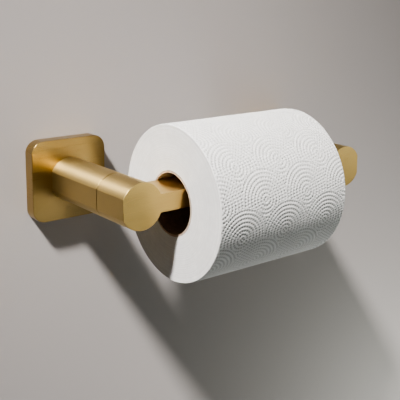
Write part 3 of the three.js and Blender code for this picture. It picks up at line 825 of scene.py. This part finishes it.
def threaded_shank(centre, start, end, crest, material):
    """A tapping screw's shank with a sharp helical thread, run to a point at its far end."""
    around, rows = 40, 170
    angle = np.arange(around) / around * 2 * math.pi
    points = []
    for row in range(rows):
        along = start + (end - start) * row / (rows - 1)
        phase = (along / THREAD_PITCH - angle / (2 * math.pi)) % 1.0
        ridge = np.clip(1 - np.abs(phase - 0.5) / 0.24, 0, 1)
        taper = min(1.0, 0.04 + (end - along) / SCREW_TIP)
        radius = (THREAD_ROOT + (crest - THREAD_ROOT) * ridge) * taper
        x = centre.x + radius * np.cos(angle)
        z = centre.z + radius * np.sin(angle)
        points += list(zip(x, np.full(around, along), z))
    faces = grid_faces(rows, around, 0)
    faces.append(list(range(around)))
    faces.append(list(range((rows - 1) * around, rows * around)))
    return new_object("shank", mesh_of("shank", points, faces), material)


def cross_cutters(reach, half, back, front, back_edge, centre, material):
    """Two crossing bars along X and Z, from a back y to a front y."""
    cutters = []
    for half_x, half_z in ((reach, half), (half, reach)):
        outline = [(-half_x, -half_z), (half_x, -half_z), (half_x, half_z), (-half_x, half_z)]
        shift = (centre.x, centre.z)
        cutters.append(prism("cross", outline, back, front, back_edge, 0, material, shift=shift))
    return cutters


def wall_screw(node, material):
    """A countersunk cross-slot screw with a sharp thread."""
    low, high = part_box(node)
    centre = (low + high) / 2
    face, end = low.y, high.y
    head = centre.x - low.x
    crest = SCREW_CREST
    neck = face + head - crest
    profile = [
        (0, face), (head - 0.00035, face), (head, face + 0.00025), (head, face + 0.0005),
        (crest + 0.0001, neck), (THREAD_ROOT, neck + 0.0012), (0, neck + 0.0012),
    ]
    screw = turned(f"{node}_threaded", profile, material, (centre.x, centre.z), 48)
    slot = cross_cutters(
        head * 0.62, SLOT_HALF, face + SLOT_DEPTH, face - PAST, SLOT_HALF * 0.5, centre, material,
    )
    carve(screw, *slot)
    with_shell(screw, threaded_shank(centre, neck + 0.0003, end, crest, material))
    smooth(screw, 35)
    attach(screw, "root")
    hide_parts(node)


def wall_anchor(node, material):
    """A ribbed expanding plug: a collar, saw-toothed ribs and two crossing slits."""
    low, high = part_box(node)
    centre = (low + high) / 2
    collar = centre.x - low.x
    bore, crest = ANCHOR_BORE, ANCHOR_CREST
    profile = [(bore, low.y), (collar - 0.0003, low.y), (collar, low.y + 0.0003), (collar, low.y + 0.00095)]
    along = low.y + 0.0022
    profile.append((crest, low.y + 0.00096))
    while along < high.y - RIB_PITCH:
        profile.append((crest, along))
        profile.append((ANCHOR_ROOT, along + 0.0001))
        profile.append((crest, along + RIB_PITCH - 0.0002))
        along += RIB_PITCH
    profile += [(crest, high.y - 0.0008), (crest - 0.0006, high.y), (bore, high.y)]
    anchor = turned(f"{node}_ribbed", profile, material, (centre.x, centre.z), 56)
    start, end = low.y + SLIT_START, high.y + PAST
    carve(anchor, *cross_cutters(SLIT_REACH, SLIT_HALF, end, start, 0, centre, material))
    smooth(anchor, 35)
    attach(anchor, "root")
    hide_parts(node)


# ------------------------------------------------------------------ stage and light
WALL = 0.0005
FLOOR = -0.45
WALL_TOP = 2.0
STAGE_HALF = 2.5
STAGE_REACH = 3.0
WALL_HOLE = PLATE_SIZE / 2 - 0.006
WALL_COLOR = (0.50, 0.465, 0.45, 1)
WALL_BOUNCE = (0.30, 0.29, 0.28, 1)
FLOOR_COLOR = (0.62, 0.61, 0.60, 1)
FLOOR_BOUNCE = (0.12, 0.12, 0.12, 1)
FLOOR_GLOW = 0.42


def add_stage():
    """A plain wall that is clear from behind, and a plain pale floor. Light that bounces off them
    is dimmed, so the object keeps the deep shadows of the photo."""
    wall = Nodes("wall_paint")
    grain = wall.noise(wall.place((1, 1, 1)), 900.0, detail=3.0)
    bounced = wall.add("ShaderNodeLightPath").outputs["Is Diffuse Ray"]
    wall.finish(
        Base_Color=wall.mix(bounced, WALL_COLOR, WALL_BOUNCE), Roughness=0.9, Specular_IOR_Level=0.1,
        Normal=wall.bump(grain, 0.0001, 0.35),
    )
    behind = wall.add("ShaderNodeNewGeometry").outputs["Backfacing"]
    clear = wall.add("ShaderNodeBsdfTransparent").outputs[0]
    mixed = wall.add("ShaderNodeMixShader", {0: behind, 1: wall.shader.outputs[0], 2: clear})
    wall.tree.links.new(mixed.outputs[0], wall.output.inputs["Surface"])
    add_wall(wall.material)
    floor = Nodes("floor_paint")
    path = floor.add("ShaderNodeLightPath").outputs
    floor.finish(
        Base_Color=floor.mix(path["Is Diffuse Ray"], FLOOR_COLOR, FLOOR_BOUNCE), Roughness=0.8,
        Emission_Color=FLOOR_COLOR,
        Emission_Strength=floor.math("MULTIPLY", path["Is Camera Ray"], FLOOR_GLOW),
    )
    corners = [(-STAGE_HALF, -STAGE_REACH), (STAGE_HALF, -STAGE_REACH), (STAGE_HALF, STAGE_REACH),
               (-STAGE_HALF, STAGE_REACH)]
    add_plane("floor", [(x, y, FLOOR) for x, y in corners], [[0, 1, 2, 3]], floor.material)


def add_wall(material):
    """The wall has an opening behind each plate, so light from behind reaches the fixings."""
    columns = [
        -STAGE_HALF, LEFT_X - WALL_HOLE, LEFT_X + WALL_HOLE, RIGHT_X - WALL_HOLE, RIGHT_X + WALL_HOLE,
        STAGE_HALF,
    ]
    rows = [FLOOR, -WALL_HOLE, WALL_HOLE, WALL_TOP]
    points = [(x, WALL, z) for z in rows for x in columns]
    faces = []
    for row in range(len(rows) - 1):
        for column in range(len(columns) - 1):
            if row == 1 and column in (1, 3):
                continue
            corner = row * len(columns) + column
            above = corner + len(columns)
            faces.append([corner, corner + 1, above + 1, above])
    add_plane("wall", points, faces, material)


def add_plane(name, points, faces, material):
    mesh = bpy.data.meshes.new(name)
    mesh.from_pydata(points, [], faces)
    plane = new_object(name, mesh, material)


KEY_FROM = Vector((-0.535, -0.305, 0.79)).normalized()
KEY_DISTANCE = 2.7
KEY_TARGET = Vector((-0.05, 0, 0))
KEY_SIZE = 0.28
KEY_SPREAD = 23  # degrees
KEY_POWER = 3.4
PANEL_PLACE = Vector((0.55, -1.06, -0.32))
PANEL_TARGET = Vector((0.02, -0.08, 0))
PANEL_SIZE = 0.9
PANEL_POWER = 3.1
FILL_PLACE = Vector((0.30, -0.20, -0.33))
FILL_TARGET = Vector((0.05, -0.05, -0.08))
FILL_SIZE = 0.25
FILL_POWER = 0.62
BEHIND_PLACE = Vector((-0.6, 1.2, 0.9))
BEHIND_TARGET = Vector((0, 0.02, 0))
BEHIND_SIZE = 0.6
BEHIND_POWER = 5
KEY_COLOR = (1.0, 0.975, 0.95)
SOFT_COLOR = (0.97, 1.0, 0.97)
FILL_COLOR = (0.95, 1.0, 0.95)
ROOM_COLOR = (0.98, 1.0, 0.98, 1)

# strengths of the world: for light that falls on things, for what metal reflects, for what is seen
ROOM = 0.008
ROOM_IN_METAL = 0.03
ROOM_SEEN = 0.7

# soft panels in the world: a direction, a strength, and the cosines at the panel's edge and middle
BEHIND = ((0.0, 1.0, 0.0), 0.42, 0.0, 0.25)
BEHIND_IN_METAL = ((0.0, 1.0, 0.1), 0.40, -0.05, 0.5)
PANELS_IN_METAL = (
    ((0.44, -0.86, -0.26), 5.8, 0.80, 0.99),
    ((0.0, 0.1, 1.0), 0.16, 0.1, 0.95),
    ((1.0, -0.1, 0.2), 0.22, 0.45, 0.95),
    ((-1.0, 0.1, 0.2), 0.12, 0.45, 0.95),
)


def add_area(name, place, target, size, power, color=(1, 1, 1), spread=180):
    data = bpy.data.lights.new(name, "AREA")
    data.shape = "DISK"
    data.size = size
    data.energy = power
    data.color = color
    data.spread = math.radians(spread)
    lamp = bpy.data.objects.new(name, data)
    lamp.location = place
    lamp.rotation_mode = "QUATERNION"
    lamp.rotation_quaternion = (Vector(place) - Vector(target)).to_track_quat("Z", "Y")
    bpy.context.collection.objects.link(lamp)
    return lamp


def spare_stage(lamp):
    """Keeps a lamp's light off the wall and the floor."""
    stage = bpy.data.collections.new(f"{lamp.name}_spares")
    for name in ("wall", "floor"):
        stage.objects.link(bpy.data.objects[name])
    lamp.light_linking.receiver_collection = stage
    for member in stage.collection_objects:
        member.light_linking.link_state = "EXCLUDE"


def add_lights():
    """One raking key from the upper left, a soft panel and a weak fill from the lower right, and a
    lamp behind the wall for the fixings. The panel lights the object alone, and doesn't show in metal,
    where a panel of the world takes its place."""
    place = KEY_TARGET + KEY_FROM * KEY_DISTANCE
    add_area("key", place, KEY_TARGET, KEY_SIZE, KEY_POWER, KEY_COLOR, KEY_SPREAD)
    panel = add_area("panel", PANEL_PLACE, PANEL_TARGET, PANEL_SIZE, PANEL_POWER, SOFT_COLOR)
    spare_stage(panel)
    panel.visible_glossy = False
    fill = add_area("fill", FILL_PLACE, FILL_TARGET, FILL_SIZE, FILL_POWER, FILL_COLOR)
    fill.visible_camera = False
    add_area("behind", BEHIND_PLACE, BEHIND_TARGET, BEHIND_SIZE, BEHIND_POWER)
    add_world()
    settings = bpy.context.scene.view_settings
    settings.view_transform = "AgX"
    settings.look = "AgX - Medium High Contrast"


def add_world():
    """A dim room in front of the wall and a light one behind it, with soft panels that only metal sees."""
    world = bpy.data.worlds.new("studio")
    world.use_nodes = True
    tree = world.node_tree

    def node(kind, values, **settings):
        made = tree.nodes.new(kind)
        for key, value in settings.items():
            setattr(made, key, value)
        for socket, value in values.items():
            if isinstance(value, bpy.types.NodeSocket):
                tree.links.new(value, made.inputs[socket])
            else:
                made.inputs[socket].default_value = value
        return made

    direction = node("ShaderNodeTexCoord", {}).outputs["Generated"]

    def lobe(panel, strength, edge, centre):
        towards = Vector(panel).normalized()
        facing = node("ShaderNodeVectorMath", {0: direction, 1: towards}, operation="DOT_PRODUCT")
        values = {"Value": facing.outputs["Value"], "From Min": edge, "From Max": centre, "To Min": 0,
                  "To Max": strength}
        return node("ShaderNodeMapRange", values, interpolation_type="SMOOTHSTEP").outputs[0]

    def add(a, b):
        return node("ShaderNodeMath", {0: a, 1: b}).outputs[0]

    seen_in_metal = add(lobe(*BEHIND_IN_METAL), ROOM_IN_METAL)
    for panel in PANELS_IN_METAL:
        seen_in_metal = add(seen_in_metal, lobe(*panel))
    falling = add(lobe(*BEHIND), ROOM)
    path = node("ShaderNodeLightPath", {}).outputs
    values = {0: path["Is Glossy Ray"], 2: falling, 3: seen_in_metal}
    light = node("ShaderNodeMix", values).outputs[0]
    values = {0: path["Is Camera Ray"], 2: light, 3: ROOM_SEEN}
    strength = node("ShaderNodeMix", values).outputs[0]
    background = tree.nodes["Background"]
    background.inputs["Color"].default_value = ROOM_COLOR
    tree.links.new(strength, background.inputs["Strength"])
    bpy.context.scene.world = world


# ------------------------------------------------------------------ build
def build():
    """Makes the camera, the stage, the lights and every visible piece, and finishes the kept CAD nodes."""
    # Three copies of one brass: painted light on the turned faces, painted shade on the faced ends and the
    # plates.
    round_brass = brushed_brass("brass_turned", (40, 9000, 40), 0.40, TURNED_LIT_TINT, stretch=0.78)
    flat_brass = brushed_brass("brass_faced", (60, 60, 7000), 0.30, FACED_SHADE_TINT)
    plate_brass = brushed_brass("brass_plate", (60, 60, 7000), 0.30, PLATE_SHADE_TINT)
    add_camera()
    add_stage()
    add_lights()
    for side in (-1, 1):
        backplate(side, plate_brass)
        post(side, round_brass, flat_brass)
    swing_arm(round_brass, flat_brass)
    rest_head(round_brass, flat_brass)
    paper_roll(tissue_paper("tissue_side", 0.8, wound=True), tissue_paper("tissue_face", 0.5))
    # The walls' board is darker than the cut ends' board: painted shade for the inside of the tube.
    board = cardboard("cardboard_wall_shaded", (0.20, 0.14, 0.105), (0.30, 0.22, 0.17))
    paper_core(board, cardboard("cardboard_cut", (0.40, 0.29, 0.22), (0.60, 0.47, 0.38)))
    zinc = cast_zinc()
    steel = plain_metal("zinc_plated_steel", (0.62, 0.62, 0.64), 0.32)
    nylon = moulded("nylon", (0.80, 0.78, 0.70))
    grey = moulded("anchor_plastic", (0.44, 0.46, 0.48), 0.55)
    rubber = moulded("rubber", (0.03, 0.03, 0.03), 0.7)
    finishes = {"zinc": zinc, "steel": steel, "nylon": nylon, "anchor_plastic": grey, "rubber": rubber}
    for side in ("left", "right"):
        for level in ("upper", "lower"):
            wall_screw(f"{side}_wall_screw_{level}", steel)
            wall_anchor(f"{side}_wall_anchor_{level}", grey)
    slots = {part["node"]: part["material_slot"] for part in frame["record"]["subparts"]}
    for node, piece in frame["nodes"].items():
        if slots[node] in finishes:
            for place in piece.material_slots:
                place.material = finishes[slots[node]]


build()
